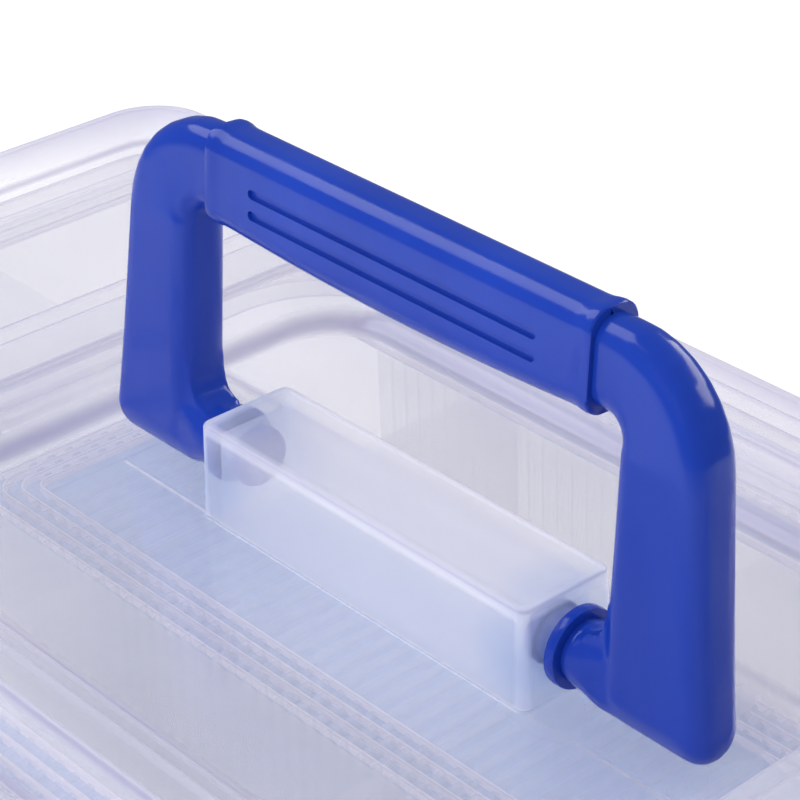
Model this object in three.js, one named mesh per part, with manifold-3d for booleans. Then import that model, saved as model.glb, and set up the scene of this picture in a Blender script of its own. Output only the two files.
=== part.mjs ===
// Sewing box with trays: a clear moulded tub and lid, a blue folding carry handle with a grip sleeve,
// two blue end latches, and two lift-out trays whose lanes take removable dividers.
// Millimetres, +Z up, +X along the handle, -Y the front. The origin is the bottom centre of the tub.
import * as THREE from 'three';
import { mergeVertices } from 'three/addons/utils/BufferGeometryUtils.js';
import Module from 'manifold-3d';

// ---------- driving dimensions ----------
const LID_LENGTH = 364;          // outside of the lid rim, along X
const LID_WIDTH = 178;           // outside of the lid rim, along Y
const LID_CORNER = 26;           // outside corner radius of the rim
const TUB_HEIGHT = 148;          // floor to the top of the tub's flange
const LID_WALL = 2.2;
const TUB_WALL = 2.2;
const FIT = 0.3;                 // gap between pieces that rest on each other
const SLIP = 0.4;                // side gap between pieces that lift apart

// lid profile, heights measured from the floor of the handle recess
const RIM_ABOVE_FLOOR = 4;
const RIM_DEPTH = 8.4;           // rim top down to the perimeter deck
const RIDGE_HEIGHT = 12;         // raised frame round the recess
const SKIRT_LENGTH = 13.6;       // deck down to the lower edge of the skirt
const SKIRT_FLARE = 0.8;         // the skirt widens downwards by this much each side
const RECESS_END_ROOM = 7.8;       // recess floor beyond the foot of each leg
const RECESS_SIDE_ROOM = 5.2;    // recess floor beyond the centre of the bar when it lies flat
const RECESS_CORNER = 14;
const RECESS_DRAFT_X = 4;        // how far each end wall leans out
const RECESS_DRAFT_Y = 7;        // how far each long wall leans out
const RIDGE_TOP_X = 18;          // width of the ridge's flat top at the ends
const RIDGE_TOP_Y = 10;          // and along the long sides
const RIDGE_DRAFT = 2;
const SNUG = 0.2;                // how far pieces of one moulding run into each other

// pivot boss and handle
const BOSS_LENGTH = 80;
const BOSS_WIDTH = 19.8;
const BOSS_HEIGHT = 18;
const BOSS_WALL = 2;
const BOSS_END_WALL = 2.4;
const BOSS_DRAFT = 0.5;
const BOSS_CORNER = 1.6;
const BOSS_CORNER_INSIDE = 1;
const JOURNAL_RADIUS = 4.3;
const BORE_RADIUS = JOURNAL_RADIUS + FIT;
const SNAP_HEAD_LIP = 1.1;       // the snap head stands this much proud of the journal
const SNAP_HEAD_THICKNESS = 2.2;
const SNAP_HEAD_CHAMFER = 0.8;
const FLANGE_LIP_OUT = 2.6;      // and the flange this much
const FLANGE_THICKNESS = 2.2;
const FLANGE_GAP = 0.9;          // boss end to flange
const NECK_SWELL = 1.5;          // and the neck between flange and leg this much
const NECK_LENGTH = 7.1;
const NECK_GROOVE = 0.8;         // length of the groove behind the flange
const NECK_GROOVE_DEPTH = 0.6;
const LEG_OVERLAP = 4;           // how far a stub runs into its leg
const HANDLE_LEAN = 4.5;         // degrees that the handle leans back as it stands
const LEG_WIDTH_FOOT = 22;
const LEG_WIDTH_TOP = 16.4;
const LEG_DEPTH_FOOT = 9.2;
const LEG_DEPTH_TOP = 9.8;
const FOOT_DROP = 6.9;           // pivot axis down to the underside of a leg
const FOOT_ROUNDING = [[0, 6], [0.5, 3.4], [1.6, 1.4], [3.2, 0.3]]; // rise, and how much slimmer
const BAR_RISE = 49.8;             // pivot axis up to the centre of the bar
const BAR_HEIGHT = 14.8;
const BAR_DEPTH = 8.2;
const BEND_RADIUS = 11;
const SECTION_SQUARENESS = 3.2;  // exponent of the oval sections: 2 is an ellipse, more is squarer
const GRIP_LENGTH = 89.2;
const GRIP_HEIGHT = 16.8;
const GRIP_DEPTH = 9.6;
const GRIP_WALL = 1.4;
const GRIP_BELLY = 1.6;          // extra fullness under the middle of the grip
const GROOVE_LENGTH = 65.4;
const GROOVE_WIDTH = 1.5;
const GROOVE_DEPTH = 0.7;
const GROOVE_SPACING = 3.7;
const GROOVE_DROP = 1.1;         // bar centre down to the middle of a pair of grooves
const GRIP_LIP = 0.9;            // the ends of the grip flare by this much

// tub profile: half widths across Y, measured in from the lid's outside
const TUB_TOP_INSET = 6.8;
const TUB_SHOULDER_INSET = 12.5;
const TUB_STEP = 4;              // the shoulder that carries the lower tray steps in by this
const TUB_WALL_DRAFT = 1.3;      // lean of the tub wall between the two shoulders
const TUB_FOOT_INSET = 21.5;
const REBATE_DEPTH = 3.4;        // tub top down to the ledge that carries the upper tray
const FLANGE_LIP = 8;            // height of the tub's down-turned lip
const FOOT_RING_WIDTH = 5;
const FOOT_RING_HEIGHT = 1.6;

// trays and dividers
const TRAY_HEIGHT = 40;
const TRAY_WALL = 1.6;
const TRAY_FLANGE = 2;           // thickness of a tray's rim
const TRAY_PLAY = 2.6;           // tray wall to tub wall
const TRAY_TAPER = 0.6;          // a tray's wall leans out by this
const LANES = 3;
const SLOT_PITCH = 4;
const SLOT_WIDTH = 2.4;
const SLOT_DEPTH = 3;
const SLOTTED_LENGTH = 176;      // length of the slotted stretch in the middle of each lane
const DIVIDER_THICKNESS = 1.6;
const DIVIDER_SLOTS = [-12, 7];  // slots that hold a divider, counted along X from the middle slot
const DIVIDER_DROP = 1;          // divider top below the tray top
const DIVIDER_END_GAP = 0.7;     // more play along the lane than FIT alone
const DIVIDER_NOSE = 2;          // bevelled lower corners that find the slots

// latches
const LATCH_WIDTH = 40;
const LATCH_THICKNESS = 2.6;
const LATCH_PIVOT_OUT = 5;       // lid rim to pivot axis
const LATCH_PIVOT_DROP = 4.9;    // rim top down to pivot axis
const LATCH_LENGTH = 44;         // pivot axis down to the finger tab's edge
const LATCH_BARREL = 3.3;
const LATCH_CLEAR = 0.6;         // latch plate to catch shelf
const TRUNNION_RADIUS = 1.7;
const EAR_THICKNESS = 4;
const EAR_RADIUS = 4.2;
const CATCH_DROP = 26.5;         // pivot axis down to the top of the catch shelf
const CATCH_THICKNESS = 3;
const CATCH_BITE = 2;            // how far the latch bead reaches under the shelf
const CATCH_WIDTH = 36;
const CATCH_GUSSET = 14;         // catch shelf down to the foot of its gussets
const CATCH_ROOT = 0.6;          // how deep the shelf and its gussets run into the tub wall
const BEAD_DRAFT = 0.4;
const BEAD_HEIGHT = 1.2;
const BEAD_RAMP = 4.2;           // the bead's slope back to the plate
const TAB_HEIGHT = 7;            // finger tab at the latch's lower edge
const TAB_OUT = 4.6;             // how far it kicks out
const TAB_THICKNESS = 2.4;
const TAB_DRAFT = 0.6;

// ---------- heights that follow ----------
const DECK_UNDER = TUB_HEIGHT + FIT;
const DECK_TOP = DECK_UNDER + LID_WALL;
const RECESS_FLOOR = DECK_TOP + RIM_DEPTH - RIM_ABOVE_FLOOR;
const RIM_TOP = RECESS_FLOOR + RIM_ABOVE_FLOOR;
const RIDGE_TOP = RECESS_FLOOR + RIDGE_HEIGHT;
const SKIRT_BOTTOM = DECK_TOP - SKIRT_LENGTH;
const PIVOT_Z = RECESS_FLOOR + BOSS_HEIGHT / 2;
const SNAP_HEAD_RADIUS = JOURNAL_RADIUS + SNAP_HEAD_LIP;
const FLANGE_RADIUS = JOURNAL_RADIUS + FLANGE_LIP_OUT;
const NECK_RADIUS = JOURNAL_RADIUS + NECK_SWELL;
const LEG_INSIDE = BOSS_LENGTH / 2 + FLANGE_GAP + FLANGE_THICKNESS + NECK_LENGTH;
const TUB_BELOW_SHOULDER_INSET = TUB_SHOULDER_INSET + TUB_STEP;
const HALF_X = LID_LENGTH / 2;
const HALF_Y = LID_WIDTH / 2;
const UPPER_LEDGE = TUB_HEIGHT - REBATE_DEPTH;
const UPPER_TRAY_TOP = UPPER_LEDGE + FIT + TRAY_FLANGE;
const LOWER_TRAY_TOP = UPPER_TRAY_TOP - TRAY_HEIGHT - FIT;
const LOWER_LEDGE = LOWER_TRAY_TOP - TRAY_FLANGE - FIT;

// ---------- materials ----------
const clearPlastic = () => new THREE.MeshStandardMaterial({
  color: 0xd4d8ec, roughness: 0.32, metalness: 0, transparent: true, opacity: 0.55 });
const bluePlastic = () => new THREE.MeshStandardMaterial({ color: 0x2742be, roughness: 0.22, metalness: 0 });

// ---------- helpers ----------
const wasm = await Module();
wasm.setup();

function solid(geometry) {
  const bare = geometry.clone();
  bare.deleteAttribute('normal');
  bare.deleteAttribute('uv');
  const merged = mergeVertices(bare, 1e-4);
  return new wasm.Manifold(new wasm.Mesh({
    numProp: 3,
    vertProperties: new Float32Array(merged.attributes.position.array),
    triVerts: new Uint32Array(merged.index.array),
  }));
}

function named(name, body, material) {
  const shape = body.getMesh();
  const geometry = new THREE.BufferGeometry();
  geometry.setAttribute('position', new THREE.BufferAttribute(shape.vertProperties, 3));
  geometry.setIndex(new THREE.BufferAttribute(shape.triVerts, 1));
  geometry.computeVertexNormals();
  const mesh = new THREE.Mesh(geometry, material);
  mesh.name = name;
  return mesh;
}

// A closed skin over rings of equal point count, first ring to last ring.
function skin(rings) {
  const count = rings[0].length;
  const positions = rings.flat().flatMap((p) => [p.x, p.y, p.z]);
  const faces = [];
  for (let ring = 0; ring + 1 < rings.length; ring += 1) {
    for (let i = 0; i < count; i += 1) {
      const a = ring * count + i;
      const b = ring * count + (i + 1) % count;
      faces.push(a, b, b + count, a, b + count, a + count);
    }
  }
  const last = (rings.length - 1) * count;
  for (let i = 1; i + 1 < count; i += 1) {
    faces.push(0, i + 1, i, last, last + i, last + i + 1);
  }
  const geometry = new THREE.BufferGeometry();
  geometry.setAttribute('position', new THREE.Float32BufferAttribute(positions, 3));
  geometry.setIndex(faces);
  return geometry;
}

// Rounded rectangle as a ring at height z, counter-clockwise from above.
function roundedRing(halfX, halfY, radius, z, steps = 6) {
  const outline = new THREE.Path();
  const x = halfX - radius;
  const y = halfY - radius;
  outline.absarc(x, -y, radius, -Math.PI / 2, 0);
  outline.absarc(x, y, radius, 0, Math.PI / 2);
  outline.absarc(-x, y, radius, Math.PI / 2, Math.PI);
  outline.absarc(-x, -y, radius, Math.PI, 1.5 * Math.PI);
  const corners = outline.curves.filter((curve) => curve.isEllipseCurve);
  return corners.flatMap((arc) => arc.getPoints(steps)).map((p) => new THREE.Vector3(p.x, p.y, z));
}

// Sections of a drafted moulding: each is [z, halfX, halfY, cornerRadius].
const moulding = (...sections) =>
  solid(skin(sections.map(([z, halfX, halfY, radius]) => roundedRing(halfX, halfY, radius, z))));

// A section of the box family, given by how far it lies inside the lid's outside.
const inset = (z, by) => [z, HALF_X - by, HALF_Y - by, Math.max(LID_CORNER - by, 4)];

function block(x0, x1, y0, y1, z0, z1) {
  const box = new THREE.BoxGeometry(x1 - x0, y1 - y0, z1 - z0);
  box.translate((x0 + x1) / 2, (y0 + y1) / 2, (z0 + z1) / 2);
  return solid(box);
}

// Turned shape about an axis parallel to X: profile points are [x, radius].
function turnedAlongX(profile, z, segments = 24) {
  const lathe = new THREE.LatheGeometry(profile.map(([x, r]) => new THREE.Vector2(r, x)), segments);
  lathe.rotateZ(-Math.PI / 2);
  lathe.translate(0, 0, z);
  return solid(lathe);
}

// Outline in X and Z, drawn out along Y between two planes.
function drawnAlongY(shape, y0, y1, curveSegments = 6) {
  const geometry = new THREE.ExtrudeGeometry(shape, { depth: y1 - y0, bevelEnabled: false, curveSegments });
  geometry.rotateX(Math.PI / 2);
  geometry.translate(0, y1, 0);
  return solid(geometry);
}

function rodAlongY(radius, x, z, y0, y1) {
  const rod = new THREE.CylinderGeometry(radius, radius, y1 - y0, 16);
  rod.translate(x, (y0 + y1) / 2, z);
  return solid(rod);
}

const bothEnds = (body) => body.add(body.mirror([1, 0, 0]));

// The handle as it stands: leaning back about its pivot axis.
const leaning = (body) => body.translate([0, 0, -PIVOT_Z]).rotate([-HANDLE_LEAN, 0, 0]).translate([0, 0, PIVOT_Z]);

// ---------- lid ----------
const RECESS_X = LEG_INSIDE + LEG_WIDTH_FOOT + RECESS_END_ROOM;
const RECESS_Y = BAR_RISE + RECESS_SIDE_ROOM;
const RIDGE_X = RECESS_X + RECESS_DRAFT_X + RIDGE_TOP_X;
const RIDGE_Y = RECESS_Y + RECESS_DRAFT_Y + RIDGE_TOP_Y;
const RIDGE_CORNER = RECESS_CORNER + RIDGE_TOP_Y;
const LATCH_X = HALF_X + LATCH_PIVOT_OUT;
const LATCH_Z = RIM_TOP - LATCH_PIVOT_DROP;
const CUT = 2;                   // how far a cutting shape runs past what it cuts

// The recess as a drafted bowl, grown by `wall` on every side.
const bowl = (wall, top) => moulding(
  [RECESS_FLOOR - wall, RECESS_X + wall, RECESS_Y + wall, RECESS_CORNER + wall],
  [RIDGE_TOP, RECESS_X + RECESS_DRAFT_X + wall, RECESS_Y + RECESS_DRAFT_Y + wall, RECESS_CORNER + RECESS_DRAFT_X + wall],
  ...(top > RIDGE_TOP
    ? [[top, RECESS_X + RECESS_DRAFT_X + wall, RECESS_Y + RECESS_DRAFT_Y + wall, RECESS_CORNER + RECESS_DRAFT_X + wall]]
    : []),
);

function latchEar(side) {
  const shape = new THREE.Shape();
  const wallX = HALF_X - LID_WALL / 2;
  shape.moveTo(wallX, LATCH_Z - EAR_RADIUS);
  shape.lineTo(LATCH_X, LATCH_Z - EAR_RADIUS);
  shape.absarc(LATCH_X, LATCH_Z, EAR_RADIUS, -Math.PI / 2, Math.PI / 2);
  shape.lineTo(wallX, LATCH_Z + EAR_RADIUS);
  const near = side * (LATCH_WIDTH / 2 + SLIP);
  const far = near + side * EAR_THICKNESS;
  return drawnAlongY(shape, Math.min(near, far), Math.max(near, far));
}

function makeLid() {
  let lid = moulding(inset(SKIRT_BOTTOM, 0), inset(RIM_TOP, SKIRT_FLARE));
  lid = lid.subtract(moulding(inset(DECK_TOP, LID_WALL + SKIRT_FLARE), inset(RIM_TOP + CUT, LID_WALL + SKIRT_FLARE)));
  lid = lid.subtract(moulding(inset(SKIRT_BOTTOM - CUT, LID_WALL), inset(DECK_UNDER, LID_WALL)));
  const ridgeRing = (z, by, wall) => [z, RIDGE_X + by - wall, RIDGE_Y + by - wall, RIDGE_CORNER + by - wall];
  lid = lid.add(moulding(ridgeRing(DECK_UNDER + FIT, RIDGE_DRAFT, 0), ridgeRing(RIDGE_TOP, 0, 0)));
  lid = lid.subtract(moulding(
    ridgeRing(DECK_UNDER - CUT, RIDGE_DRAFT, LID_WALL), ridgeRing(RIDGE_TOP - LID_WALL, 0, LID_WALL)));
  lid = lid.add(bowl(LID_WALL, RIDGE_TOP)).subtract(bowl(0, RIDGE_TOP + CUT));

  const bossX = BOSS_LENGTH / 2;
  const bossY = BOSS_WIDTH / 2;
  const bossTop = RECESS_FLOOR + BOSS_HEIGHT;
  lid = lid.add(moulding(
    [RECESS_FLOOR - LID_WALL / 2, bossX, bossY, BOSS_CORNER],
    [bossTop, bossX - BOSS_DRAFT, bossY - BOSS_DRAFT, BOSS_CORNER]));
  lid = lid.subtract(moulding(
    [RECESS_FLOOR - LID_WALL - CUT, bossX - BOSS_END_WALL, bossY - BOSS_WALL, BOSS_CORNER_INSIDE],
    [bossTop - BOSS_WALL, bossX - BOSS_END_WALL - BOSS_DRAFT, bossY - BOSS_WALL - BOSS_DRAFT, BOSS_CORNER_INSIDE]));
  const boreReach = bossX + CUT;
  lid = lid.subtract(turnedAlongX(
    [[-boreReach, 0], [-boreReach, BORE_RADIUS], [boreReach, BORE_RADIUS], [boreReach, 0]], PIVOT_Z));

  const ears = latchEar(1).add(latchEar(-1));
  const earReach = LATCH_WIDTH / 2 + SLIP + EAR_THICKNESS + CUT;
  const trunnionBore = rodAlongY(TRUNNION_RADIUS + FIT, LATCH_X, LATCH_Z, -earReach, earReach);
  return lid.add(bothEnds(ears)).subtract(bothEnds(trunnionBore));
}

// ---------- handle ----------
// Ring of a swept handle section: centre in the XZ plane, direction of travel, full width and depth.
function sectionRing(x, z, heading, width, depth, steps = 20) {
  const squareness = 2 / SECTION_SQUARENESS;
  return Array.from({ length: steps }, (_, i) => {
    const angle = (2 * Math.PI * i) / steps;
    const across = Math.sign(Math.cos(angle)) * Math.abs(Math.cos(angle)) ** squareness * width / 2;
    const along = Math.sign(Math.sin(angle)) * Math.abs(Math.sin(angle)) ** squareness * depth / 2;
    return new THREE.Vector3(x + across * Math.sin(heading), along, z - across * Math.cos(heading));
  });
}

function makeHandle() {
  const mix = THREE.MathUtils.lerp;
  const footZ = PIVOT_Z - FOOT_DROP;
  const barZ = PIVOT_Z + BAR_RISE;
  const legTop = barZ - BEND_RADIUS;
  const legAt = (z, shrink = 0) => {
    const t = (z - footZ) / (legTop - footZ);
    const eased = t ** 0.8;
    const width = mix(LEG_WIDTH_FOOT, LEG_WIDTH_TOP, eased);
    const depth = mix(LEG_DEPTH_FOOT, LEG_DEPTH_TOP, t);
    return { x: LEG_INSIDE + width / 2, z, heading: Math.PI / 2, width: width - shrink, depth: depth - shrink };
  };
  const foot = FOOT_ROUNDING.map(([rise, shrink]) => legAt(footZ + rise, shrink));
  const leg = [0.14, 0.3, 0.5, 0.75].map((t) => legAt(mix(footZ, legTop, t)));
  const bendX = LEG_INSIDE + LEG_WIDTH_TOP / 2 - BEND_RADIUS;
  const bend = [0, 0.2, 0.4, 0.6, 0.8, 1].map((t) => {
    const turn = (t * Math.PI) / 2;
    return {
      x: bendX + BEND_RADIUS * Math.cos(turn),
      z: legTop + BEND_RADIUS * Math.sin(turn),
      heading: Math.PI / 2 + turn,
      width: mix(LEG_WIDTH_TOP, BAR_HEIGHT, t),
      depth: mix(LEG_DEPTH_TOP, BAR_DEPTH, t),
    };
  });
  const coreHeight = GRIP_HEIGHT - 2 * GRIP_WALL - 2 * FIT;
  const coreDepth = GRIP_DEPTH - 2 * GRIP_WALL - 2 * FIT;
  const shoulder = GRIP_LENGTH / 2 + FIT;
  const bar = [
    { x: shoulder, z: barZ, heading: Math.PI, width: BAR_HEIGHT, depth: BAR_DEPTH },
    { x: shoulder, z: barZ, heading: Math.PI, width: coreHeight, depth: coreDepth },
  ];
  const rightHalf = [...foot, ...leg, ...bend, ...bar];
  const leftHalf = rightHalf.map((s) => ({ ...s, x: -s.x, heading: 2 * Math.PI - s.heading })).reverse();
  const sweep = skin([...rightHalf, ...leftHalf].map((s) => sectionRing(s.x, s.z, s.heading, s.width, s.depth)));

  const headEnd = BOSS_LENGTH / 2 - BOSS_END_WALL - BOSS_DRAFT - FIT;
  const headStart = headEnd - SNAP_HEAD_THICKNESS;
  const flangeStart = BOSS_LENGTH / 2 + FLANGE_GAP;
  const flangeEnd = flangeStart + FLANGE_THICKNESS;
  const grooveEnd = flangeEnd + NECK_GROOVE;
  const grooveRadius = NECK_RADIUS - NECK_GROOVE_DEPTH;
  const stub = turnedAlongX([
    [headStart, 0],
    [headStart, SNAP_HEAD_RADIUS - SNAP_HEAD_CHAMFER],
    [headStart + SNAP_HEAD_CHAMFER, SNAP_HEAD_RADIUS],
    [headEnd, SNAP_HEAD_RADIUS],
    [headEnd, JOURNAL_RADIUS],
    [flangeStart, JOURNAL_RADIUS],
    [flangeStart, FLANGE_RADIUS],
    [flangeEnd, FLANGE_RADIUS],
    [flangeEnd, grooveRadius],
    [grooveEnd, grooveRadius],
    [grooveEnd, NECK_RADIUS],
    [LEG_INSIDE + LEG_OVERLAP, NECK_RADIUS],
    [LEG_INSIDE + LEG_OVERLAP, 0],
  ], PIVOT_Z);
  return leaning(solid(sweep).add(bothEnds(stub)));
}

function makeGrip() {
  const barZ = PIVOT_Z + BAR_RISE;
  const half = GRIP_LENGTH / 2;
  const stations = [-1, -0.955, -0.92, -0.6, -0.25, 0.25, 0.6, 0.92, 0.955, 1];
  const rings = stations.map((t) => {
    const belly = GRIP_BELLY * (1 - t * t);
    const flare = Math.abs(t) > 0.94 ? GRIP_LIP : 0;
    return sectionRing(t * half, barZ - belly / 2, 0, GRIP_HEIGHT + belly + flare, GRIP_DEPTH + flare, 24);
  });
  const coreRing = (x) =>
    sectionRing(x, barZ, 0, GRIP_HEIGHT - 2 * GRIP_WALL, GRIP_DEPTH - 2 * GRIP_WALL, 20);
  let grip = solid(skin(rings)).subtract(solid(skin([coreRing(-half - CUT), coreRing(half + CUT)])));
  for (const face of [-1, 1]) {
    for (const level of [-1, 1]) {
      const slot = new THREE.Shape();
      const end = GROOVE_LENGTH / 2;
      slot.absarc(end, 0, GROOVE_WIDTH / 2, -Math.PI / 2, Math.PI / 2);
      slot.absarc(-end, 0, GROOVE_WIDTH / 2, Math.PI / 2, 1.5 * Math.PI);
      const cutter = drawnAlongY(slot, -GRIP_DEPTH / 2 - CUT, -GRIP_DEPTH / 2 + GROOVE_DEPTH, 4);
      const placed = cutter.translate([0, 0, barZ - GROOVE_DROP + (level * GROOVE_SPACING) / 2]);
      grip = grip.subtract(face < 0 ? placed : placed.mirror([0, 1, 0]));
    }
  }
  return leaning(grip);
}

// ---------- tub ----------
function makeTub() {
  const jog = TUB_WALL;
  const foot = TUB_FOOT_INSET;
  const outer = moulding(
    inset(0, foot),
    inset(LOWER_LEDGE - jog, TUB_BELOW_SHOULDER_INSET - TUB_WALL),
    inset(LOWER_LEDGE, TUB_SHOULDER_INSET + TUB_WALL_DRAFT - TUB_WALL),
    inset(UPPER_LEDGE - jog, TUB_SHOULDER_INSET - TUB_WALL),
    inset(UPPER_LEDGE, TUB_TOP_INSET),
    inset(TUB_HEIGHT, TUB_TOP_INSET),
  );
  const inner = moulding(
    inset(TUB_WALL, foot + TUB_WALL),
    inset(LOWER_LEDGE, TUB_BELOW_SHOULDER_INSET),
    inset(LOWER_LEDGE, TUB_SHOULDER_INSET + TUB_WALL_DRAFT),
    inset(UPPER_LEDGE, TUB_SHOULDER_INSET),
    inset(UPPER_LEDGE, TUB_TOP_INSET + TUB_WALL),
    inset(TUB_HEIGHT + CUT, TUB_TOP_INSET + TUB_WALL),
  );
  const lipInset = LID_WALL + SLIP;
  const lip = moulding(inset(TUB_HEIGHT - FLANGE_LIP, lipInset), inset(TUB_HEIGHT, lipInset));
  const underLip = moulding(
    inset(TUB_HEIGHT - FLANGE_LIP - CUT, lipInset + TUB_WALL), inset(TUB_HEIGHT - TUB_WALL, lipInset + TUB_WALL));
  let tub = lip.subtract(underLip).add(outer).subtract(inner);
  tub = tub.subtract(moulding(
    inset(-CUT, foot + FOOT_RING_WIDTH), inset(FOOT_RING_HEIGHT, foot + FOOT_RING_WIDTH)));

  // a catch shelf on each end for the latch bead, with a gusset under each side
  const shelfTop = LATCH_Z - CATCH_DROP;
  const shelfEdge = LATCH_X - LATCH_CLEAR;
  const wallX = HALF_X - TUB_SHOULDER_INSET - CATCH_ROOT;
  const half = CATCH_WIDTH / 2;
  const shelf = block(wallX, shelfEdge, -half, half, shelfTop - CATCH_THICKNESS, shelfTop);
  const gusset = new THREE.Shape();
  gusset.moveTo(wallX, shelfTop - CATCH_THICKNESS / 2);
  gusset.lineTo(shelfEdge - CATCH_BITE - LATCH_CLEAR, shelfTop - CATCH_THICKNESS / 2);
  gusset.lineTo(wallX, shelfTop - CATCH_GUSSET);
  const gussets = [-1, 1].map((side) => {
    const edge = side * half;
    return drawnAlongY(gusset, Math.min(edge, edge - side * TUB_WALL), Math.max(edge, edge - side * TUB_WALL));
  });
  return tub.add(bothEnds(shelf.add(gussets[0]).add(gussets[1])));
}

// ---------- latches ----------
function makeLatch() {
  const inner = LATCH_X + LATCH_CLEAR / 2;
  const outer = inner + LATCH_THICKNESS;
  const shelfEdge = LATCH_X - LATCH_CLEAR;
  const beadTop = LATCH_Z - CATCH_DROP - CATCH_THICKNESS - FIT;
  const tabZ = LATCH_Z - LATCH_LENGTH;
  const plate = new THREE.Shape();
  plate.moveTo(inner, LATCH_Z);
  plate.lineTo(inner, beadTop);
  plate.lineTo(shelfEdge - CATCH_BITE, beadTop);
  plate.lineTo(shelfEdge - CATCH_BITE + BEAD_DRAFT, beadTop - BEAD_HEIGHT);
  plate.lineTo(inner, beadTop - BEAD_RAMP);
  plate.lineTo(inner + TAB_DRAFT, tabZ + TAB_HEIGHT);
  plate.lineTo(inner + TAB_OUT, tabZ);
  plate.lineTo(inner + TAB_OUT + TAB_THICKNESS, tabZ + TAB_DRAFT);
  plate.lineTo(outer + TAB_DRAFT, tabZ + TAB_HEIGHT + TAB_DRAFT);
  plate.quadraticCurveTo(outer + TAB_DRAFT, LATCH_Z - LATCH_LENGTH / 2, outer, LATCH_Z);
  const half = LATCH_WIDTH / 2;
  const reach = half + SLIP + EAR_THICKNESS - FIT;
  return drawnAlongY(plate, -half, half)
    .add(rodAlongY(LATCH_BARREL, LATCH_X, LATCH_Z, -half, half))
    .add(rodAlongY(TRUNNION_RADIUS, LATCH_X, LATCH_Z, -reach, reach));
}

// ---------- trays and dividers ----------
// Each tray hangs by its rim on a ledge of the tub: bodyInset is the tray wall's outside.
const TRAYS = {
  upper: { top: UPPER_TRAY_TOP, flangeInset: TUB_TOP_INSET + TUB_WALL + SLIP, bodyInset: TUB_SHOULDER_INSET + TRAY_PLAY },
  lower: {
    top: LOWER_TRAY_TOP,
    flangeInset: TUB_SHOULDER_INSET + TUB_WALL_DRAFT + SLIP,
    bodyInset: TUB_BELOW_SHOULDER_INSET + TRAY_PLAY,
  },
};

// Places across Y of the lane centres and of the two partitions between them.
function lanesOf(tray) {
  const inside = HALF_Y - tray.bodyInset - TRAY_WALL;
  const pitch = (2 * inside + TRAY_WALL) / LANES;
  const centres = Array.from({ length: LANES }, (_, i) => (i - (LANES - 1) / 2) * pitch);
  return { inside, pitch, centres, clear: pitch - TRAY_WALL };
}

// One strip of slot ribs standing on the tray floor: the ribs fill all but the slots.
function slotRibs(y0, y1, z0, z1) {
  const count = 2 * Math.round(SLOTTED_LENGTH / SLOT_PITCH / 2);
  return Array.from({ length: count }, (_, i) => {
    const centre = (i - (count - 1) / 2) * SLOT_PITCH;
    const half = (SLOT_PITCH - SLOT_WIDTH) / 2;
    return block(centre - half, centre + half, y0, y1, z0, z1);
  });
}

function makeTray(tray) {
  const bottom = tray.top - TRAY_HEIGHT;
  const { centres, clear, inside } = lanesOf(tray);
  const taper = TRAY_TAPER;
  let body = moulding(inset(bottom, tray.bodyInset + taper), inset(tray.top, tray.bodyInset))
    .add(moulding(inset(tray.top - TRAY_FLANGE, tray.flangeInset), inset(tray.top, tray.flangeInset)));
  const bite = SNUG;
  const floor = bottom + TRAY_WALL;
  const corner = Math.max(LID_CORNER - tray.bodyInset - TRAY_WALL, 3);
  const insideX = HALF_X - tray.bodyInset - TRAY_WALL - taper;
  body = body.subtract(moulding(
    [floor, insideX, inside - taper, corner], [tray.top + CUT, insideX + taper, inside, corner]));
  const pieces = [];
  for (const centre of centres) {
    for (const side of [-1, 1]) {
      const wallFace = centre + side * (clear / 2 + bite);
      const ribFace = centre + side * (clear / 2 - SLOT_DEPTH);
      pieces.push(...slotRibs(Math.min(wallFace, ribFace), Math.max(wallFace, ribFace), floor - bite, tray.top));
    }
  }
  for (let i = 0; i + 1 < LANES; i += 1) {
    const y = (centres[i] + centres[i + 1]) / 2;
    pieces.push(block(-insideX - bite, insideX + bite, y - TRAY_WALL / 2, y + TRAY_WALL / 2, floor - bite, tray.top));
  }
  return wasm.Manifold.union([body, ...pieces]);
}

function makeDivider(tray, centre, x) {
  const { clear } = lanesOf(tray);
  const half = clear / 2 - FIT - DIVIDER_END_GAP;
  const bottom = tray.top - TRAY_HEIGHT + TRAY_WALL + FIT;
  const top = tray.top - DIVIDER_DROP;
  const shape = new THREE.Shape();
  shape.moveTo(-half + DIVIDER_NOSE, bottom);
  shape.lineTo(half - DIVIDER_NOSE, bottom);
  shape.lineTo(half, bottom + DIVIDER_NOSE);
  shape.lineTo(half, top);
  shape.lineTo(-half, top);
  shape.lineTo(-half, bottom + DIVIDER_NOSE);
  const sheet = drawnAlongY(shape, -DIVIDER_THICKNESS / 2, DIVIDER_THICKNESS / 2);
  return sheet.rotate([0, 0, 90]).translate([x, centre, 0]);
}

// ---------- assembly ----------
const box = new THREE.Group();
box.add(named('base_tub', makeTub(), clearPlastic()));
box.add(named('lid', makeLid(), clearPlastic()));
box.add(named('carry_handle', makeHandle(), bluePlastic()));
box.add(named('grip_sleeve', makeGrip(), bluePlastic()));
const latch = makeLatch();
box.add(named('right_latch', latch, bluePlastic()));
box.add(named('left_latch', latch.mirror([1, 0, 0]), bluePlastic()));
for (const [level, tray] of Object.entries(TRAYS)) {
  box.add(named(`${level}_tray`, makeTray(tray), clearPlastic()));
  lanesOf(tray).centres.forEach((centre, lane) => {
    DIVIDER_SLOTS.forEach((slot, place) => {
      const name = `${level}_divider_${['front', 'middle', 'back'][lane]}_${['left', 'right'][place]}`;
      box.add(named(name, makeDivider(tray, centre, slot * SLOT_PITCH), clearPlastic()));
    });
  });
}

export default box;
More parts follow.
